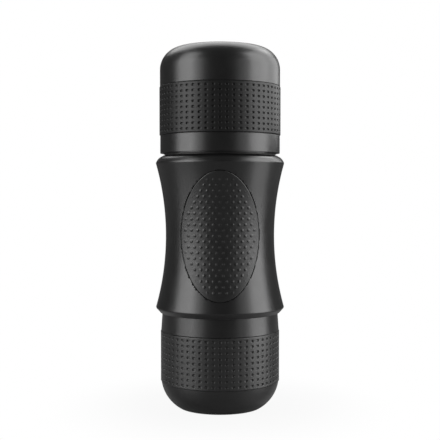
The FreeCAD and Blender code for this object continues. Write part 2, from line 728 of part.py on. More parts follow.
def piston_knob():
    """The round push plate on the stem, with a boss that holds the rod's end."""
    low = SLEEVE_END + SEAT
    plate = cylinder(KNOB_R, low, low + KNOB_THICK)
    plate = round_edges_at(plate, KNOB_ROUND, [low, low + KNOB_THICK])
    boss = cylinder(STEM_BORE_R - 0.02, SLEEVE_END - KNOB_BOSS, low)
    rod_way = cylinder(ROD_R + 0.08, SLEEVE_END - KNOB_BOSS, SLEEVE_END + 1.0)
    return on_pump_axis(plate.fuse(boss).cut(rod_way))


NODES = [
    cup_shell,
    cup_grip_band,
    outlet_head,
    outlet_nozzle,
    filter_basket,
    basket_screen,
    group_gasket,
    body_shell,
    grip_pad,
    group_head,
    collar_o_ring,
    shower_screen,
    screen_screw,
    valve_block,
    block_screws,
    outlet_valve,
    inlet_tube,
    inlet_valve,
    vent_valve,
    tank_spigot,
    spigot_screws,
    pump_cylinder,
    piston_spring,
    pump_sleeve,
    stem_guide,
    plunger_rod,
    plunger_seal,
    piston_stem,
    piston_knob,
    tank_gasket,
    tank_shell,
    tank_grip_band,
]

os.makedirs("parts", exist_ok=True)
for make in NODES:
    make().exportStep(f"parts/{make.__name__}.step")
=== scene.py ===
"""Looks of a handheld manual espresso maker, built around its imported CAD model.

Lengths in the outlines are millimetres, in the frame of the CAD model: Z up from the cup's foot,
the grip pad on -Y, the pump's sleeve and piston on +Y. Meshes are made in metres.
"""
import json
import math

import bmesh
import bpy
from mathutils import Matrix, Vector


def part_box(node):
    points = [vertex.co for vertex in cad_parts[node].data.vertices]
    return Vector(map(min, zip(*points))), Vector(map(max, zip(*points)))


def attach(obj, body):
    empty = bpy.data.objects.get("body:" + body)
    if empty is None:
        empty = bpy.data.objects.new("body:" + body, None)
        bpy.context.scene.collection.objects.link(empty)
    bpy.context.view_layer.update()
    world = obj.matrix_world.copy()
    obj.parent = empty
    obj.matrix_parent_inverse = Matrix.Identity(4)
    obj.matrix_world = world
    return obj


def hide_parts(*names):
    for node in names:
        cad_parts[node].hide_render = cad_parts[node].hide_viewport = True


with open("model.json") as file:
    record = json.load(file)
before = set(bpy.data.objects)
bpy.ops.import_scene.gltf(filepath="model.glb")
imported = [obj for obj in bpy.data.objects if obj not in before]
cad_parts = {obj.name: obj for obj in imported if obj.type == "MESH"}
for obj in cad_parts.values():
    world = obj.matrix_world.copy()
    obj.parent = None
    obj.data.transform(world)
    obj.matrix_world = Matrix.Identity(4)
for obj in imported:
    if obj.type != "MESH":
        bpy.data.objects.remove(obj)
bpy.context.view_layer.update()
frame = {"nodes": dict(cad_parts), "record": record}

MM = 0.001
SEGMENTS = 224

# Places read from the CAD frame, in millimetres
CUP_RIM_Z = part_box("cup_shell")[1].z / MM
CUP_BAND_LOW, CUP_BAND_TOP = (corner.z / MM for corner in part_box("cup_grip_band"))
CUP_BAND_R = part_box("cup_grip_band")[1].x / MM
SKIRT_Z, TOP_FACE_Z = (corner.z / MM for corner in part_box("body_shell"))
PAD_LOW, PAD_HIGH = (corner.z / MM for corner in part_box("grip_pad"))
PAD_Z = (PAD_LOW + PAD_HIGH) / 2
PAD_HALF_HEIGHT = (PAD_HIGH - PAD_LOW) / 2
PAD_HALF_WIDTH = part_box("grip_pad")[1].x / MM
TANK_LOW_Z, TANK_TOP_Z = (corner.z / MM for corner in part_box("tank_shell"))
TANK_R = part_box("tank_shell")[1].x / MM
TANK_BAND_LOW, TANK_BAND_TOP = (corner.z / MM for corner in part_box("tank_grip_band"))
TANK_BAND_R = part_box("tank_grip_band")[1].x / MM
NECK_TOP_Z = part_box("outlet_head")[1].z / MM

# Casing
RIM_R = 31.15
RIM_LOW_Z = 48.3
RIM_TOP_Z = 118.2
RIM_ROUND = 1.4
RIM_LOW_ROUND = 0.9
SHOULDER_CROWN = 0.45
SHOULDER_ROUND = 4.0
WAIST_R = 26.3
WAIST_Z = (RIM_LOW_Z + RIM_TOP_Z) / 2
FLANK_LOW_GAP = 1.0  # from a rim to the flank's first point, clear of the rim's round edge
FLANK_TOP_GAP = 1.4
SHELL_WALL = 2.3
SKIRT_EDGE_R = 28.85
SKIRT_EDGE_ROUND = 0.5
SKIRT_BORE_R = 28.3
SKIRT_STEP_Z = 55.5
TOP_FACE_R = 27.6
LEDGE_LOW_Z = 113.0
LEDGE_TOP_Z = 116.0
LEDGE_R = 17.5
SPIGOT_BORE_R = 26.0

# Tank
TANK_BORE_R = 26.3
TANK_SKIRT_STEP = 0.1
TANK_STEP = 0.45  # the skirt's edge stands this far above the tank's lowest face
TANK_STEP_R = 27.3
TANK_EDGE_ROUND = 0.12
TANK_MOUTH_ROUND = 0.35
TANK_ROUND = 10.8
TANK_INNER_ROUND = 8.8
TANK_DOME_RISE = 1.25
TANK_ROOF = 2.5

# Pad
PAD_DEPTH = 1.0
PAD_PROUD = 0.35
PAD_GROOVE = 0.08
PAD_EDGE = 0.3
PAD_EDGE_ROWS = ((0.5, 0.04), (0.85, 0.14), (1, 0.3), (1, 1.1))  # share of PAD_EDGE, fall in mm
PAD_SEAT = 0.02
BUMP_PITCH_X = 2.93
BUMP_PITCH_Z = 2.59
BUMP_R = 0.8
BUMP_HEIGHT = 0.27
BUMP_MARGIN = 0.045  # bare border of the oval, as a share of its half width
BUMP_FADE = 0.05

# Bands
PIT_ROWS = 9
PIT_COLUMNS = 58
PIT_DEPTH = 0.55
PIT_HALF = 0.46  # half a pit, as a share of half a cell
PIT_WALL = 0.2
PIT_POWER = 3.2  # 2 is a round pit, and more is squarer
PIT_MARKS = (-1, -0.62, -0.46, -0.38, -0.26, 0, 0.26, 0.38, 0.46, 0.62)  # mesh lines in a cell
BAND_THICK = 0.98
BAND_GAP = 0.12
BAND_EDGE = 0.3
BAND_BEVEL = 0.09
BAND_MARGIN = 0.55
BAND_SEAT_DEPTH = 1.0
BAND_SEAT_ROUND = 0.22

# Cup
CUP_FOOT_R = 20.3
CUP_BASE = (25.8, 5.3)
CUP_FLOOR = 2.6
CUP_TURN_R = 28.5
CUP_SHOULDER_R = 28.6
CUP_RIM_R = 28.0
CUP_RIM_ROUND = 0.5
CUP_RIM_INNER_ROUND = 0.45
CUP_BORE_R = 25.95
CUP_SOCKET_R = 26.45
CUP_SOCKET_Z = 43.8
CUP_STEP_ROUND = 0.15

# Pump
PUMP_Z = 78.3
PUMP_RISE = 30.0
SLEEVE_R = 14.3
SLEEVE_BORE_R = 12.3
SLEEVE_START = 12.0
SLEEVE_END = 51.6
SLEEVE_ROUND = 1.6
SLEEVE_MOUTH = 3.2
SLEEVE_HOLE = (5, 55)  # where the casing's hole for the sleeve starts and ends along the pump
STEM_R = 9.3
STEM_BORE_R = 7.5
STEM_START = -12.0
STEM_GAP = 0.3
KNOB_R = 14.45
KNOB_THICK = 2.8
KNOB_FACE_ROUND = 1.2
KNOB_BACK_ROUND = 1.0
KNOB_BOSS = 4.0
ROD_R = 2.5
ROD_GAP = 0.08
ROD_GRIP = 1.0
SEAT = 0.05  # gap between the sleeve's end and the knob at rest
FIT = 0.02  # clearance of pieces that are pressed together

# Outlet head
HEAD_FACE_R = 13.7
HEAD_FACE_Z = 5.85
HEAD_FACE_ROUND = 0.35
HEAD_FACE_TURN = 1.2  # degrees of the corner's arc that the face's round edge takes
HEAD_DISH_Z = 7.9
HEAD_DISH_FALL = 0.7
HEAD_DISH_MIDDLE = 0.6  # share of HEAD_FACE_R at which the dish has fallen that far
HEAD_CORNER_Z = 18.4
HEAD_CORNER_R = 24.6
HEAD_CORNER_ROUND = 12.8
HEAD_WALL = 2.6
HEAD_TOP_Z = 39.9
HEAD_TOP_R = 25.2
HEAD_BEAD = 0.25
HEAD_BEAD_HEIGHT = 0.9
HEAD_BEAD_FOOT = 1.2
HEAD_BORE_R = 21.2
HEAD_FLOOR_Z = 9.6
NECK_R = 22.8
NOZZLE_R = 4.0

# Threads
THREAD_PITCH = 2.8
THREAD_BASE = 1.5
THREAD_TIP = 0.5
THREAD_SUNK = 0.15
THREAD_STEPS = 96  # in a turn
THREAD_FADE = 1 / 8  # share of the thread's length at each end
THREAD_LEAST = 0.02  # height that is left at the ends
TANK_THREAD_HEIGHT = 0.18
TANK_THREAD_START = 2.2
TANK_THREAD_TURNS = 2.2
NECK_THREAD_HEIGHT = 0.55
NECK_THREAD_START = 1.7
NECK_THREAD_TURNS = 1.3

# Rounds of small edges
CRISP = 0.1
FINE = 0.2
SOFT = 0.3

# Moulded grain: features per metre, strength of the coarse ones, and depth in metres
GRAIN_FINE = 2600
GRAIN_COARSE = 520
GRAIN_COARSE_SHARE = 0.4
GRAIN_DEPTH = 0.00008

# Light: how much of the white surround shows in gloss, and how much light it gives
GLOSSY_SHARE = 0.05
SURROUND_LIGHT = 0.04

# Floor: half its side, then how white the camera sees it and its grey, both as (from, to, value
# there, value there), with distances from the middle in metres
FLOOR_SIZE = 8.0
FLOOR_FADE = (0.025, 0.09, 0.93, 1.0)
FLOOR_TONE = (0.05, 0.13, 0.3, 0.2)

# Camera, in metres, and its lens in millimetres
EYE = Vector((0, -0.44, 0.1025))
AIM = Vector((0, 0, 0.0905))
LENS = 74.0

PUMP = Matrix.Translation((0, 0, PUMP_Z * MM)) @ Matrix.Rotation(
    math.radians(PUMP_RISE - 90), 4, "X"
)


# ---------------------------------------------------------------- outlines

def rounded(corners, steps=5):
    """An outline from (r, z) points and (r, z, radius) corners, which are rounded."""
    points = []
    count = len(corners)
    for i, corner in enumerate(corners):
        here = Vector(corner[:2])
        if len(corner) == 2:
            points.append(here)
            continue
        back = (Vector(corners[i - 1][:2]) - here).normalized()
        ahead = (Vector(corners[(i + 1) % count][:2]) - here).normalized()
        half = back.angle(ahead) / 2
        reach = corner[2] / math.tan(half)
        centre = here + (back + ahead).normalized() * corner[2] / math.sin(half)
        start, end = here + back * reach - centre, here + ahead * reach - centre
        sweep = start.angle_signed(end)
        for k in range(steps + 1):
            points.append(centre + Matrix.Rotation(-sweep * k / steps, 2) @ start)
    return [(p.x, p.y) for p in points]


def arc(centre, radius, first, last, steps):
    """Points on an arc; angles in degrees from +r towards +z."""
    points = []
    for k in range(steps + 1):
        angle = math.radians(first + (last - first) * k / steps)
        points.append((centre[0] + radius * math.cos(angle), centre[1] + radius * math.sin(angle)))
    return points


def arc_through(a, middle, b, steps):
    """Points on the arc from a to b through middle."""
    (ax, ay), (mx, my), (bx, by) = a, middle, b
    d = 2 * (ax * (my - by) + mx * (by - ay) + bx * (ay - my))
    aa, mm, bb = ax * ax + ay * ay, mx * mx + my * my, bx * bx + by * by
    cx = (aa * (my - by) + mm * (by - ay) + bb * (ay - my)) / d
    cy = (aa * (bx - mx) + mm * (ax - bx) + bb * (mx - ax)) / d
    centre = Vector((cx, cy))
    start = Vector(a) - centre
    sweep = start.angle_signed(Vector(middle) - centre) + (Vector(middle) - centre).angle_signed(
        Vector(b) - centre
    )
    points = [centre + Matrix.Rotation(-sweep * k / steps, 2) @ start for k in range(steps + 1)]
    return [(p.x, p.y) for p in points]


def waist_radius(z, inset=0.0):
    """Radius of the casing's hollow flank at a height, or that far inside it."""
    half = (RIM_TOP_Z - RIM_LOW_Z) / 2
    sag = RIM_R - WAIST_R
    bend = (half * half + sag * sag) / (2 * sag) + inset
    return WAIST_R - inset + bend - math.sqrt(bend * bend - (z - WAIST_Z) ** 2)


def flank(low, high, steps, inset=0.0):
    """Points up the casing's flank between two heights."""
    heights = [low + (high - low) * k / steps for k in range(steps + 1)]
    return [(waist_radius(z, inset), z) for z in heights]


def domed_top(radius, top, corner, rise, steps):
    """Outline from the axis over a domed top and down a round corner to the side wall."""
    reach = radius - corner
    dome = (reach * reach + rise * rise) / (2 * rise) + corner
    centre_z = top - dome + math.sqrt((dome - corner) ** 2 - reach * reach)
    lean = math.degrees(math.asin(reach / (dome - corner)))
    over = arc((0, top - dome), dome, 90, 90 - lean, steps)
    over[0] = (0, top)
    return over + arc((reach, centre_z), corner, 90 - lean, 0, steps)[1:]


# ---------------------------------------------------------------- meshes

def new_object(name, verts, faces, sharp=38):
    """A closed mesh object with outward normals, smooth but for edges over sharp degrees."""
    mesh = bpy.data.meshes.new(name)
    mesh.from_pydata(verts, [], faces)
    made = bmesh.new()
    made.from_mesh(mesh)
    bmesh.ops.remove_doubles(made, verts=made.verts, dist=1e-7)
    bmesh.ops.recalc_face_normals(made, faces=made.faces)
    made.to_mesh(mesh)
    made.free()
    obj = bpy.data.objects.new(name, mesh)
    bpy.context.scene.collection.objects.link(obj)
    smooth(obj, sharp)
    return obj


def smooth(obj, sharp=38):
    """Shades the object smooth, but for edges over sharp degrees."""
    obj.data.polygons.foreach_set("use_smooth", [True] * len(obj.data.polygons))
    obj.data.set_sharp_from_angle(angle=math.radians(sharp))


def weigh_normals(obj):
    """Lets large faces set the normals, so that narrow rounds shade evenly."""
    weigh = obj.modifiers.new("normals", "WEIGHTED_NORMAL")
    weigh.keep_sharp = True
    weigh.weight = 60


def lathe(name, outline, segments=SEGMENTS, place=None):
    """Turns a closed outline of (r, z) points about Z."""
    verts, rings = [], []
    for r, z in outline:
        if r < 1e-6:
            rings.append([len(verts)] * segments)
            verts.append((0, 0, z * MM))
            continue
        rings.append(list(range(len(verts), len(verts) + segments)))
        for k in range(segments):
            turn = 2 * math.pi * k / segments
            verts.append((r * MM * math.cos(turn), r * MM * math.sin(turn), z * MM))
    faces = []
    for a, b in zip(rings, rings[1:] + rings[:1]):
        for k in range(segments):
            ahead = (k + 1) % segments
            corners = []
            for index in (a[k], a[ahead], b[ahead], b[k]):
                if index not in corners:
                    corners.append(index)
            if len(corners) > 2:
                faces.append(corners)
    obj = new_object(name, verts, faces)
    if place:
        obj.data.transform(place)
    weigh_normals(obj)
    return obj


def applied(obj):
    """Bakes the object's modifiers into its mesh."""
    bpy.context.view_layer.update()
    seen = obj.evaluated_get(bpy.context.evaluated_depsgraph_get())
    mesh = bpy.data.meshes.new_from_object(seen)
    obj.modifiers.clear()
    obj.data = mesh


def cut(obj, *cutters):
    """Takes the cutters' volumes out of obj, and deletes the cutters."""
    obj.modifiers.clear()
    for cutter in cutters:
        boolean = obj.modifiers.new("cut", "BOOLEAN")
        boolean.operation = "DIFFERENCE"
        boolean.solver = "EXACT"
        boolean.object = cutter
    applied(obj)
    for cutter in cutters:
        bpy.data.objects.remove(cutter)
    smooth(obj)
    weigh_normals(obj)


def thread(name, root, height, low, turns, inward=False):
    """A helical thread ridge that fades in and out at its ends."""
    steps = int(turns * THREAD_STEPS)
    side = -1 if inward else 1
    base, tip = THREAD_BASE / 2, THREAD_TIP / 2
    verts = []
    for i in range(steps + 1):
        turn = 2 * math.pi * turns * i / steps
        fade = min(1.0, i / steps / THREAD_FADE, (steps - i) / steps / THREAD_FADE)
        crest = root + side * max(height * fade, THREAD_LEAST)
        sunk = root - side * THREAD_SUNK
        z = low + THREAD_PITCH * turn / (2 * math.pi)
        for r, dz in ((sunk, -base), (crest, -tip), (crest, tip), (sunk, base)):
            verts.append((r * MM * math.cos(turn), r * MM * math.sin(turn), (z + dz) * MM))
    faces = [(3, 2, 1, 0), (4 * steps, 4 * steps + 1, 4 * steps + 2, 4 * steps + 3)]
    for i in range(steps):
        for k in range(4):
            ahead = (k + 1) % 4
            faces.append((4 * i + k, 4 * i + ahead, 4 * i + 4 + ahead, 4 * i + 4 + k))
    return new_object(name, verts, faces)


def closed_sheet(name, front, back, edge_rows, sharp=38):
    """A closed solid from two matching grids of points, joined round their borders.

    edge_rows are loops of points between the front's border and the back's, in border order."""
    rows, columns = len(front), len(front[0])
    verts = [p for row in front for p in row] + [p for row in back for p in row]
    half = rows * columns
    faces = []
    for j in range(rows - 1):
        for i in range(columns - 1):
            a = j * columns + i
            face = (a, a + 1, a + columns + 1, a + columns)
            faces.append(face)
            faces.append(tuple(half + k for k in reversed(face)))
    border = sheet_border(rows, columns)
    loops = [border]
    for loop in edge_rows:
        loops.append(list(range(len(verts), len(verts) + len(loop))))
        verts.extend(loop)
    loops.append([half + k for k in border])
    for a, b in zip(loops, loops[1:]):
        for k in range(len(border)):
            ahead = (k + 1) % len(border)
            faces.append((a[k], a[ahead], b[ahead], b[k]))
    return new_object(name, verts, faces, sharp)


def sheet_border(rows, columns):
    """Indices round the border of a grid, in order."""
    low = list(range(columns))
    right = [j * columns + columns - 1 for j in range(1, rows)]
    high = [(rows - 1) * columns + i for i in range(columns - 2, -1, -1)]
    left = [j * columns for j in range(rows - 2, 0, -1)]
    return low + right + high + left


# ---------------------------------------------------------------- materials

def shader(name):
    """A new node material and its Principled shader."""
    material = bpy.data.materials.new(name)
    material.use_nodes = True
    return material, material.node_tree.nodes["Principled BSDF"]


def noise(tree, scale, detail=3.0, roughness=0.55):
    """A noise texture in the object's own space; scale is features per metre."""
    place = tree.nodes.new("ShaderNodeTexCoord")
    texture = tree.nodes.new("ShaderNodeTexNoise")
    texture.inputs["Scale"].default_value = scale
    texture.inputs["Detail"].default_value = detail
    texture.inputs["Roughness"].default_value = roughness
    tree.links.new(place.outputs["Object"], texture.inputs["Vector"])
    return texture


def spread(tree, value, low, high):
    """Maps a noise value, which lies mostly between 0.3 and 0.7, onto a range."""
    ramp = tree.nodes.new("ShaderNodeMapRange")
    ramp.inputs["From Min"].default_value = 0.3
    ramp.inputs["From Max"].default_value = 0.7
    ramp.inputs["To Min"].default_value = low
    ramp.inputs["To Max"].default_value = high
    tree.links.new(value, ramp.inputs["Value"])
    return ramp.outputs["Result"]


def vary_colour(tree, bsdf, value, dark, light):
    """Mixes two colours by a value from 0 to 1."""
    mix = tree.nodes.new("ShaderNodeMix")
    mix.data_type = "RGBA"
    mix.inputs["A"].default_value = (*dark, 1)
    mix.inputs["B"].default_value = (*light, 1)
    tree.links.new(value, mix.inputs["Factor"])
    tree.links.new(mix.outputs["Result"], bsdf.inputs["Base Color"])


def grain_bump(tree, bsdf, grains, distance):
    """Adds noise grains of several sizes to the normal."""
    normal = None
    for scale, strength in grains:
        bump = tree.nodes.new("ShaderNodeBump")
        bump.inputs["Strength"].default_value = strength
        bump.inputs["Distance"].default_value = distance
        tree.links.new(noise(tree, scale).outputs["Fac"], bump.inputs["Height"])
        if normal:
            tree.links.new(normal, bump.inputs["Normal"])
        normal = bump.outputs["Normal"]
    tree.links.new(normal, bsdf.inputs["Normal"])


def moulded_plastic(name, dark, light, rough, grain, specular=0.5):
    """Moulded plastic: faint colour drift, uneven gloss and a fine moulded grain."""
    material, bsdf = shader(name)
    tree = material.node_tree
    drift = noise(tree, 45, 4)
    vary_colour(tree, bsdf, spread(tree, drift.outputs["Fac"], 0, 1), dark, light)
    gloss = noise(tree, 160, 5, 0.65)
    tree.links.new(spread(tree, gloss.outputs["Fac"], *rough), bsdf.inputs["Roughness"])
    grains = ((GRAIN_FINE, grain), (GRAIN_COARSE, grain * GRAIN_COARSE_SHARE))
    grain_bump(tree, bsdf, grains, GRAIN_DEPTH)
    bsdf.inputs["Specular IOR Level"].default_value = specular
    return material


def brushed_metal(name, colour, rough):
    """Stainless steel with fine circular brushing about Z."""
    material, bsdf = shader(name)
    tree = material.node_tree
    place = tree.nodes.new("ShaderNodeTexCoord")
    stretch = tree.nodes.new("ShaderNodeMapping")
    stretch.inputs["Scale"].default_value = (1, 1, 40)
    lines = tree.nodes.new("ShaderNodeTexNoise")
    lines.inputs["Scale"].default_value = 120
    lines.inputs["Detail"].default_value = 6
    tree.links.new(place.outputs["Object"], stretch.inputs["Vector"])
    tree.links.new(stretch.outputs["Vector"], lines.inputs["Vector"])
    darker = tuple(c * 0.82 for c in colour)
    vary_colour(tree, bsdf, spread(tree, lines.outputs["Fac"], 0, 1), darker, colour)
    tree.links.new(spread(tree, lines.outputs["Fac"], *rough), bsdf.inputs["Roughness"])
    bump = tree.nodes.new("ShaderNodeBump")
    bump.inputs["Strength"].default_value = 0.12
    bump.inputs["Distance"].default_value = 0.00003
    tree.links.new(lines.outputs["Fac"], bump.inputs["Height"])
    tree.links.new(bump.outputs["Normal"], bsdf.inputs["Normal"])
    bsdf.inputs["Metallic"].default_value = 1.0
    return material


def silicone(name, dark, light, rough, thin):
    """Silicone rubber, a little translucent where it is pale."""
    material, bsdf = shader(name)
    tree = material.node_tree
    drift = noise(tree, 300, 3)
    vary_colour(tree, bsdf, spread(tree, drift.outputs["Fac"], 0, 1), dark, light)
    tree.links.new(spread(tree, drift.outputs["Fac"], *rough), bsdf.inputs["Roughness"])
    grain_bump(tree, bsdf, ((1800, 0.15),), 0.00005)
    bsdf.inputs["Subsurface Weight"].default_value = thin
    bsdf.inputs["Subsurface Scale"].default_value = 0.002
    return material


CASING = moulded_plastic("casing_satin", (0.005,) * 3, (0.007,) * 3, (0.28, 0.34), 0.2, 0.7)
GRIP = moulded_plastic("grip_satin", (0.006,) * 3, (0.008,) * 3, (0.36, 0.44), 0.22, 0.38)
CUP_GRIP = moulded_plastic("cup_grip_satin", (0.006,) * 3, (0.008,) * 3, (0.34, 0.42), 0.2, 0.75)
PAD = moulded_plastic("pad_rubber", (0.007,) * 3, (0.009,) * 3, (0.34, 0.42), 0.25, 0.6)
HEAD = moulded_plastic("head_satin", (0.005,) * 3, (0.007,) * 3, (0.28, 0.35), 0.15, 0.7)
KNOB = moulded_plastic("knob_satin", (0.006,) * 3, (0.008,) * 3, (0.28, 0.36), 0.15, 0.6)
POLISHED = moulded_plastic("polished_black", (0.006,) * 3, (0.008,) * 3, (0.07, 0.12), 0.03)
INNER = moulded_plastic("inner_black", (0.016,) * 3, (0.02,) * 3, (0.4, 0.5), 0.2)
STEEL = brushed_metal("stainless", (0.62, 0.62, 0.6), (0.22, 0.36))
SEAL = silicone("black_silicone", (0.01,) * 3, (0.013,) * 3, (0.5, 0.6), 0.0)
CLEAR = silicone("milky_silicone", (0.55, 0.56, 0.54), (0.66, 0.66, 0.63), (0.4, 0.5), 0.3)


def dress(obj, material, body, slot, *nodes):
    """Gives a piece its material, its body and the CAD nodes that it stands for; the slot is not
    used.
    """
    obj.data.materials.clear()
    obj.data.materials.append(material)
    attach(obj, body)
    if nodes:
        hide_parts(*nodes)


# ---------------------------------------------------------------- water tank

def water_tank():
    """The domed tank with the band's seat, and a shallow thread inside its mouth."""
    outside = domed_top(TANK_R, TANK_TOP_Z, TANK_ROUND, TANK_DOME_RISE, 28)
    inside = domed_top(TANK_BORE_R, TANK_TOP_Z - TANK_ROOF, TANK_INNER_ROUND, TANK_DOME_RISE, 20)
    seat_r = TANK_BAND_R - BAND_SEAT_DEPTH
    skirt_r = TANK_R - TANK_SKIRT_STEP
    wall = rounded([
        outside[-2],
        (TANK_R, TANK_BAND_TOP, BAND_SEAT_ROUND),
        (seat_r, TANK_BAND_TOP),
        (seat_r, TANK_BAND_LOW),
        (skirt_r, TANK_BAND_LOW, BAND_SEAT_ROUND),
        (skirt_r, TANK_LOW_Z + TANK_STEP, TANK_EDGE_ROUND),
        (TANK_STEP_R, TANK_LOW_Z + TANK_STEP),
        (TANK_STEP_R, TANK_LOW_Z, CRISP),
        (TANK_BORE_R, TANK_LOW_Z, TANK_MOUTH_ROUND),
        inside[-2],
    ], 8)[1:-1]
    tank = lathe("tank_dome", outside + wall + inside[::-1])
    dress(tank, CASING, "tank", "casing_plastic", "tank_shell")
    low = TANK_LOW_Z + TANK_THREAD_START
    ridge = thread(
        "tank_thread", TANK_BORE_R, TANK_THREAD_HEIGHT, low, TANK_THREAD_TURNS, inward=True
    )
    dress(ridge, CASING, "tank", "casing_plastic")


def pit_depth(across, up):
    """Depth of a pit at a place in its cell, both from -1 to 1: a rounded square with soft walls."""
    reach = (abs(across) ** PIT_POWER + abs(up) ** PIT_POWER) ** (1 / PIT_POWER)
    fall = max(0.0, min(1.0, (PIT_HALF - reach) / PIT_WALL))
    return PIT_DEPTH * fall * fall * (3 - 2 * fall)


def pitted_band(name, radius, low, high, material, body, node):
    """A sleeve with a grid of small pits pressed into its face.

    A row is (radius, height, place in its cell), and outside the grid the place is None."""
    inner, edge, bevel = radius - BAND_THICK, radius - BAND_EDGE, radius - BAND_BEVEL
    foot, top = low + BAND_GAP, high - BAND_GAP
    cell_z = (high - low - 2 * BAND_MARGIN) / PIT_ROWS
    cell_turn = 2 * math.pi / PIT_COLUMNS
    places = [(j + (m + 1) / 2, m) for j in range(PIT_ROWS) for m in PIT_MARKS] + [(PIT_ROWS, -1)]
    rows = [(inner, foot, None), (edge, foot, None)]
    rows += [(bevel, foot + BAND_BEVEL, None), (radius, foot + BAND_EDGE, None)]
    rows += [(radius, low + BAND_MARGIN + place * cell_z, m) for place, m in places]
    rows += [(radius, top - BAND_EDGE, None), (bevel, top - BAND_BEVEL, None)]
    rows += [(edge, top, None), (inner, top, None)]
    columns = [((i + (m + 1) / 2) * cell_turn, m) for i in range(PIT_COLUMNS) for m in PIT_MARKS]
    verts, faces = [], []
    for r, z, up in rows:
        for turn, across in columns:
            reach = r - (0 if up is None else pit_depth(across, up))
            verts.append((reach * MM * math.cos(turn), reach * MM * math.sin(turn), z * MM))
    wide = len(columns)
    for j in range(len(rows)):
        for i in range(wide):
            over = (j + 1) % len(rows) * wide
            ahead = (i + 1) % wide
            faces.append((j * wide + i, j * wide + ahead, over + ahead, over + i))
    band = new_object(name, verts, faces, sharp=50)
    dress(band, material, body, "grip_plastic", node)


# ---------------------------------------------------------------- casing

def oval_cutter():
    """The volume of the pad's recess, reaching out past the casing's face."""
    rings, turns = 30, 160
    half_width, half_height = PAD_HALF_WIDTH + PAD_GROOVE, PAD_HALF_HEIGHT + PAD_GROOVE
    clear_y = -0.04
    verts = []
    for outer in (False, True):
        verts.append((0, clear_y, PAD_Z * MM) if outer else pad_point(0, PAD_Z, PAD_DEPTH))
        for j in range(1, rings + 1):
            for i in range(turns):
                turn = 2 * math.pi * i / turns
                x = half_width * j / rings * math.cos(turn)
                z = PAD_Z + half_height * j / rings * math.sin(turn)
                verts.append((x * MM, clear_y, z * MM) if outer else pad_point(x, z, PAD_DEPTH))
    half = len(verts) // 2
    faces = []
    for base in (0, half):
        for i in range(turns):
            ahead = (i + 1) % turns
            faces.append((base, base + 1 + i, base + 1 + ahead))
            for j in range(rings - 1):
                a, b = base + 1 + j * turns, base + 1 + (j + 1) * turns
                faces.append((a + i, b + i, b + ahead, a + ahead))
    last = 1 + (rings - 1) * turns
    for i in range(turns):
        ahead = (i + 1) % turns
        faces.append((last + i, last + ahead, half + last + ahead, half + last + i))
    return new_object("oval_cutter", verts, faces)


def pad_point(x, z, inset):
    """A point in metres on the casing's front, or that far inside it."""
    r = waist_radius(z, inset)
    return (x * MM, -math.sqrt(r * r - x * x) * MM, z * MM)


def casing():
    """The waisted shell with its two rims, the pad's recess and the sleeve's hole."""
    shoulder = (
        (RIM_R + TOP_FACE_R) / 2 + SHOULDER_CROWN,
        (RIM_TOP_Z + TOP_FACE_Z) / 2 + SHOULDER_CROWN,
        SHOULDER_ROUND,
    )
    outline = rounded(
        [(SKIRT_EDGE_R, SKIRT_Z, SKIRT_EDGE_ROUND), (RIM_R, RIM_LOW_Z, RIM_LOW_ROUND)]
        + flank(RIM_LOW_Z + FLANK_LOW_GAP, RIM_TOP_Z - FLANK_TOP_GAP, 64)
        + [(RIM_R, RIM_TOP_Z, RIM_ROUND), shoulder, (TOP_FACE_R, TOP_FACE_Z, SOFT)]
        + [(SPIGOT_BORE_R, TOP_FACE_Z), (SPIGOT_BORE_R, LEDGE_TOP_Z), (LEDGE_R, LEDGE_TOP_Z)]
        + [(LEDGE_R, LEDGE_LOW_Z)]
        + flank(SKIRT_STEP_Z, LEDGE_LOW_Z, 24, SHELL_WALL)[::-1]
        + [(SKIRT_BORE_R, SKIRT_STEP_Z), (SKIRT_BORE_R, SKIRT_Z, FINE)]
    )
    shell = lathe("casing", outline, 288)
    hole_r = SLEEVE_R + FIT
    low, high = SLEEVE_HOLE
    hole = lathe("hole", [(0, low), (hole_r, low), (hole_r, high), (0, high)], 160, PUMP)
    cut(shell, oval_cutter(), hole)
    dress(shell, CASING, "casing", "casing_plastic", "body_shell")


def sleeve_boss():
    """The raised lip of the casing where the sleeve comes out.

    Its section is points of (distance from the sleeve along the casing, rise along the sleeve)."""
    section = [(3.6, -0.55), (2.5, -0.05), (1.7, 0.3), (1.15, 0.7), (0.8, 1.1), (0.6, 1.3)]
    section += [(0.35, 1.4), (0.1, 1.32), (0.0, 1.1), (0.0, -0.8), (1.8, -1.5)]
    turns = 200
    axis = (PUMP.to_3x3() @ Vector((0, 0, 1))).normalized()
    verts = []
    for k in range(turns):
        turn = 2 * math.pi * k / turns
        radial = (PUMP.to_3x3() @ Vector((math.cos(turn), math.sin(turn), 0))).normalized()
        root = meet_casing(turn)
        normal = casing_normal(root)
        away = (radial - normal * radial.dot(normal)).normalized()
        for a, b in section:
            verts.append(tuple((root + away * a + axis * b) * MM))
    count = len(section)
    faces = []
    for k in range(turns):
        ahead = (k + 1) % turns
        for i in range(count):
            j = (i + 1) % count
            faces.append((k * count + i, ahead * count + i, ahead * count + j, k * count + j))
    boss = new_object("sleeve_boss", verts, faces, sharp=60)
    dress(boss, CASING, "casing", "casing_plastic")


def meet_casing(turn):
    """Where the sleeve's side leaves the casing's face, at an angle about the pump's axis."""
    low, high = 5.0, 50.0
    halvings = 40
    for _ in range(halvings):
        along = (low + high) / 2
        local = Vector((SLEEVE_R * math.cos(turn), SLEEVE_R * math.sin(turn), along)) * MM
        point = (PUMP @ local) / MM
        if math.hypot(point.x, point.y) < waist_radius(point.z):
            low = along
        else:
            high = along
    return point


def casing_normal(point):
    """Outward normal of the casing's flank at a point on it."""
    step = 0.1
    slope = (waist_radius(point.z + step) - waist_radius(point.z - step)) / (2 * step)
    return Vector((point.x, point.y, -slope * math.hypot(point.x, point.y))).normalized()


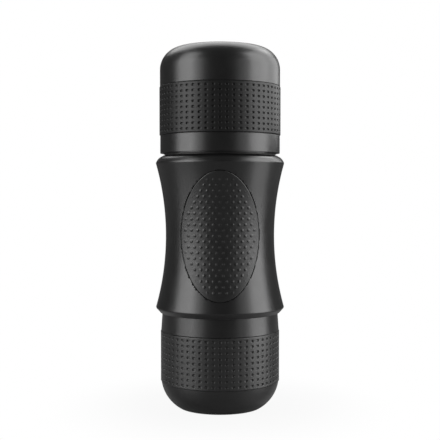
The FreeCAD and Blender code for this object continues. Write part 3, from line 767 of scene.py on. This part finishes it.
def bump_height(x, z, room):
    """Height of the pad's bumps at a place; room is how far inside the oval it is, 0 to 1."""
    row = round((z - PAD_Z) / BUMP_PITCH_Z)
    distances = []
    for j in (row - 1, row, row + 1):
        shift = 0.5 * (j % 2)
        column = round(x / BUMP_PITCH_X - shift) + shift
        distances.append(math.hypot(x - column * BUMP_PITCH_X, z - PAD_Z - j * BUMP_PITCH_Z))
    fall = max(0.0, 1 - min(distances) / BUMP_R)
    fade = max(0.0, min(1.0, (room - BUMP_MARGIN) / BUMP_FADE))
    return BUMP_HEIGHT * fade * fall * fall * (3 - 2 * fall)


def oval_place(i, j, columns, rows, inset):
    """A grid point of the pad as (x, z, room), with the grid's border on the oval less inset."""
    u, v = -1 + 2 * i / columns, -1 + 2 * j / rows
    x_unit, z_unit = u * math.sqrt(1 - v * v / 2), v * math.sqrt(1 - u * u / 2)
    x = (PAD_HALF_WIDTH - inset) * x_unit
    z = PAD_Z + (PAD_HALF_HEIGHT - inset) * z_unit
    return x, z, 1 - math.hypot(x_unit, z_unit)


def grip_pad():
    """The oval pad: a crowned rubber inlay with staggered rows of round bumps."""
    columns, rows = 132, 214
    front, back = [], []
    for j in range(rows + 1):
        top_row, back_row = [], []
        for i in range(columns + 1):
            x, z, room = oval_place(i, j, columns, rows, PAD_EDGE)
            top_row.append(pad_point(x, z, -PAD_PROUD - bump_height(x, z, room)))
            back_row.append(pad_point(x, z, PAD_DEPTH - PAD_SEAT))
        front.append(top_row)
        back.append(back_row)
    edge_rows = []
    for share, fall in PAD_EDGE_ROWS:
        loop = []
        for index in sheet_border(rows + 1, columns + 1):
            j, i = divmod(index, columns + 1)
            x, z, _ = oval_place(i, j, columns, rows, PAD_EDGE * (1 - share))
            loop.append(pad_point(x, z, fall - PAD_PROUD))
        edge_rows.append(loop)
    pad = closed_sheet("oval_pad", front, back, edge_rows, sharp=60)
    dress(pad, PAD, "casing", "pad_rubber", "grip_pad")


# ---------------------------------------------------------------- pump

def pump_pieces():
    """Sleeve, polished stem and push knob."""
    mouth = SLEEVE_END - SLEEVE_MOUTH
    stem_way = STEM_R + STEM_GAP
    sleeve = lathe("sleeve", rounded([
        (SLEEVE_R, SLEEVE_START),
        (SLEEVE_R, SLEEVE_END, SLEEVE_ROUND),
        (stem_way, SLEEVE_END, SOFT),
        (stem_way, mouth),
        (SLEEVE_BORE_R, mouth),
        (SLEEVE_BORE_R, SLEEVE_START),
    ], 8), place=PUMP)
    dress(sleeve, CASING, "casing", "casing_plastic", "pump_sleeve")
    low = SLEEVE_END + SEAT
    stem = lathe("stem", rounded([
        (STEM_R, STEM_START, SOFT),
        (STEM_R, low),
        (STEM_BORE_R, low),
        (STEM_BORE_R, STEM_START, SOFT),
    ]), place=PUMP)
    dress(stem, POLISHED, "piston", "polished_plastic", "piston_stem")
    high = low + KNOB_THICK
    boss_r = STEM_BORE_R - FIT
    rod_way = ROD_R + ROD_GAP
    knob = lathe("knob", rounded([
        (0, high),
        (KNOB_R, high, KNOB_FACE_ROUND),
        (KNOB_R, low, KNOB_BACK_ROUND),
        (boss_r, low),
        (boss_r, SLEEVE_END - KNOB_BOSS),
        (rod_way, SLEEVE_END - KNOB_BOSS),
        (rod_way, SLEEVE_END + ROD_GRIP),
        (0, SLEEVE_END + ROD_GRIP),
    ], 8), place=PUMP)
    dress(knob, KNOB, "piston", "knob_plastic", "piston_knob")


# ---------------------------------------------------------------- outlet head

def outlet_head():
    """The bell with its lip, dished face and threaded neck."""
    centre_r = HEAD_CORNER_R - HEAD_CORNER_ROUND
    inner = HEAD_CORNER_ROUND - HEAD_WALL
    bead_r = HEAD_TOP_R + HEAD_BEAD
    meet = math.degrees(math.acos((HEAD_FACE_R - centre_r) / HEAD_CORNER_ROUND))
    outline = arc_through(
        (NOZZLE_R, HEAD_DISH_Z),
        (HEAD_DISH_MIDDLE * HEAD_FACE_R, HEAD_DISH_Z - HEAD_DISH_FALL),
        (HEAD_FACE_R - HEAD_FACE_ROUND, HEAD_FACE_Z),
        10,
    )
    start = HEAD_FACE_TURN - meet
    outline += arc((centre_r, HEAD_CORNER_Z), HEAD_CORNER_ROUND, start, 0, 22)
    outline += rounded([
        (HEAD_CORNER_R, HEAD_CORNER_Z),
        (HEAD_TOP_R, HEAD_TOP_Z - HEAD_BEAD_FOOT),
        (bead_r, HEAD_TOP_Z - HEAD_BEAD_HEIGHT, CRISP),
        (bead_r, HEAD_TOP_Z, HEAD_BEAD),
        (NECK_R, HEAD_TOP_Z),
        (NECK_R, NECK_TOP_Z, SOFT),
        (HEAD_BORE_R, NECK_TOP_Z, SOFT),
        (HEAD_BORE_R, HEAD_FLOOR_Z + inner),
    ])[1:]
    outline += arc((HEAD_BORE_R - inner, HEAD_FLOOR_Z + inner), inner, 0, -90, 14)[1:]
    outline += [(NOZZLE_R, HEAD_FLOOR_Z)]
    bell = lathe("outlet_bell", outline)
    dress(bell, HEAD, "head", "head_plastic", "outlet_head")
    low = HEAD_TOP_Z + NECK_THREAD_START
    ridge = thread("neck_thread", NECK_R, NECK_THREAD_HEIGHT, low, NECK_THREAD_TURNS)
    dress(ridge, HEAD, "head", "head_plastic")


# ---------------------------------------------------------------- cup

def cup():
    """The cup: round base, seat for the band, smooth lip, and a step inside below the rim.

    The inner curve's ends lie a share of the wall further in and further up than the outer's."""
    seat_r = CUP_BAND_R - BAND_SEAT_DEPTH
    wall = CUP_TURN_R - CUP_BORE_R
    slant = wall / math.sqrt(2)
    further_in, further_up = 0.7 * wall, 0.3 * wall
    outside = arc_through((CUP_FOOT_R, 0), CUP_BASE, (CUP_TURN_R, CUP_BAND_LOW), 24)
    inside = arc_through(
        (CUP_FOOT_R - further_in, CUP_FLOOR),
        (CUP_BASE[0] - slant, CUP_BASE[1] + slant),
        (CUP_BORE_R, CUP_BAND_LOW + further_up),
        18,
    )
    side = rounded([
        (CUP_TURN_R, CUP_BAND_LOW),
        (seat_r, CUP_BAND_LOW),
        (seat_r, CUP_BAND_TOP),
        (CUP_SHOULDER_R, CUP_BAND_TOP, FINE),
        (CUP_RIM_R, SKIRT_Z),
        (CUP_RIM_R, CUP_RIM_Z, CUP_RIM_ROUND),
        (CUP_SOCKET_R, CUP_RIM_Z, CUP_RIM_INNER_ROUND),
        (CUP_SOCKET_R, CUP_SOCKET_Z, FINE),
        (CUP_BORE_R, CUP_SOCKET_Z, CUP_STEP_ROUND),
        inside[-1],
    ])[1:-1]
    body = lathe("cup", [(0, 0)] + outside + side + inside[::-1] + [(0, CUP_FLOOR)])
    dress(body, CASING, "cup", "casing_plastic", "cup_shell")


# ---------------------------------------------------------------- CAD nodes that stay

CAD_FINISH = {
    "inner_plastic": INNER,
    "polished_plastic": POLISHED,
    "steel": STEEL,
    "silicone": SEAL,
    "clear_silicone": CLEAR,
    "casing_plastic": CASING,
    "grip_plastic": GRIP,
    "pad_rubber": PAD,
    "head_plastic": HEAD,
    "knob_plastic": KNOB,
}


def finish_cad_nodes():
    """Gives every CAD node the finish of its material slot."""
    for part in frame["record"]["subparts"]:
        node = frame["nodes"][part["node"]]
        node.data.materials.clear()
        node.data.materials.append(CAD_FINISH[part["material_slot"]])


# ---------------------------------------------------------------- stage, light and camera

def math_node(tree, operation, first, second):
    """A math node fed by two sockets or numbers."""
    node = tree.nodes.new("ShaderNodeMath")
    node.operation = operation
    for socket, value in zip(node.inputs, (first, second)):
        if isinstance(value, float):
            socket.default_value = value
        else:
            tree.links.new(value, socket)
    return node.outputs[0]


def white_to_camera(tree, surface, share, white_kind):
    """Mixes plain white into a surface: fully for the camera, and GLOSSY_SHARE for gloss."""
    path = tree.nodes.new("ShaderNodeLightPath")
    clear = math_node(
        tree, "MAXIMUM", path.outputs["Is Camera Ray"], path.outputs["Is Transmission Ray"]
    )
    gloss = math_node(tree, "MULTIPLY", path.outputs["Is Glossy Ray"], GLOSSY_SHARE)
    white = tree.nodes.new(white_kind)
    white.inputs["Color"].default_value = (1, 1, 1, 1)
    white.inputs["Strength"].default_value = 1.0
    mix = tree.nodes.new("ShaderNodeMixShader")
    factor = math_node(tree, "MULTIPLY", math_node(tree, "MAXIMUM", clear, gloss), share)
    tree.links.new(factor, mix.inputs["Fac"])
    tree.links.new(surface, mix.inputs[1])
    tree.links.new(white.outputs[0], mix.inputs[2])
    return mix.outputs[0]


def stage():
    """A white floor that keeps the object's shadow, and a white surround."""
    corners = [(-1, -1), (1, -1), (1, 1), (-1, 1)]
    corners = [(x * FLOOR_SIZE, y * FLOOR_SIZE, 0) for x, y in corners]
    mesh = bpy.data.meshes.new("floor")
    mesh.from_pydata(corners, [], [(0, 1, 2, 3)])
    floor = bpy.data.objects.new("floor", mesh)
    bpy.context.scene.collection.objects.link(floor)
    material, bsdf = shader("floor_white")
    bsdf.inputs["Roughness"].default_value = 0.3
    bsdf.inputs["Specular IOR Level"].default_value = 0.5
    tree = material.node_tree
    place = tree.nodes.new("ShaderNodeTexCoord")
    away = tree.nodes.new("ShaderNodeVectorMath")
    away.operation = "LENGTH"
    tree.links.new(place.outputs["Object"], away.inputs[0])
    fades = []
    for ends in (FLOOR_FADE, FLOOR_TONE):
        fade = tree.nodes.new("ShaderNodeMapRange")
        fade.interpolation_type = "SMOOTHSTEP"
        for key, value in zip(("From Min", "From Max", "To Min", "To Max"), ends):
            fade.inputs[key].default_value = value
        tree.links.new(away.outputs["Value"], fade.inputs["Value"])
        fades.append(fade.outputs[0])
    tree.links.new(fades[1], bsdf.inputs["Base Color"])
    shown = white_to_camera(tree, bsdf.outputs[0], fades[0], "ShaderNodeEmission")
    tree.links.new(shown, tree.nodes["Material Output"].inputs["Surface"])
    mesh.materials.append(material)
    world = bpy.data.worlds.new("surround")
    bpy.context.scene.world = world
    world.use_nodes = True
    tree = world.node_tree
    plain = tree.nodes["Background"]
    plain.inputs["Color"].default_value = (1, 1, 1, 1)
    plain.inputs["Strength"].default_value = SURROUND_LIGHT
    shown = white_to_camera(tree, plain.outputs[0], 1.0, "ShaderNodeBackground")
    tree.links.new(shown, tree.nodes["World Output"].inputs["Surface"])


def panel(name, radiance, size, distance, azimuth, level, rise=0):
    """A soft light that faces a point of the main axis at height level.

    Lengths are in metres. Azimuth is in degrees from -Y towards +X, and rise in degrees above the
    horizon."""
    turn, lift = math.radians(azimuth), math.radians(rise)
    level_way = math.cos(lift)
    away = Vector((level_way * math.sin(turn), -level_way * math.cos(turn), math.sin(lift)))
    width, height = size
    light = bpy.data.lights.new(name, "AREA")
    light.shape = "RECTANGLE"
    light.size, light.size_y = size
    light.energy = radiance * math.pi * width * height
    lamp = bpy.data.objects.new(name, light)
    lamp.location = Vector((0, 0, level)) + away * distance
    lamp.rotation_euler = (math.pi / 2 - lift, 0, turn)
    lamp.visible_camera = False
    bpy.context.scene.collection.objects.link(lamp)


def lights():
    """Two tall boxes at the sides with dim fills before them, a near one behind on the right, a
    low one on the right and one high at the back."""
    panel("left_box", 3.4, (0.52, 1.2), distance=0.8, azimuth=-68, level=0.62)
    panel("left_fill", 1.6, (0.4, 0.6), distance=0.85, azimuth=-46, level=0.3)
    panel("right_box", 3.8, (0.58, 1.2), distance=0.8, azimuth=79, level=0.62)
    panel("right_fill", 0.8, (0.5, 0.6), distance=0.85, azimuth=50, level=0.3)
    panel("back_box", 2.2, (0.17, 0.25), distance=0.2, azimuth=115, level=0.27)
    panel("low_box", 2.0, (0.16, 0.045), distance=0.27, azimuth=80, level=0.134, rise=-26)
    panel("high_box", 2.4, (1.4, 0.8), distance=1.0, azimuth=180, level=0.12, rise=56)


def camera():
    """A camera in front of the grip pad, a little above the middle."""
    lens = bpy.data.cameras.new("view")
    lens.lens = LENS
    lens.clip_start = 0.01
    eye = bpy.data.objects.new("view", lens)
    eye.location = EYE
    eye.rotation_euler = (AIM - EYE).to_track_quat("-Z", "Y").to_euler()
    bpy.context.scene.collection.objects.link(eye)
    bpy.context.scene.camera = eye


# ---------------------------------------------------------------- the scene

finish_cad_nodes()
water_tank()
pitted_band("tank_band", TANK_BAND_R, TANK_BAND_LOW, TANK_BAND_TOP, GRIP, "tank", "tank_grip_band")
casing()
sleeve_boss()
grip_pad()
pump_pieces()
outlet_head()
cup()
pitted_band("cup_band", CUP_BAND_R, CUP_BAND_LOW, CUP_BAND_TOP, CUP_GRIP, "cup", "cup_grip_band")
stage()
lights()
camera()
bpy.context.scene.view_settings.view_transform = "Standard"
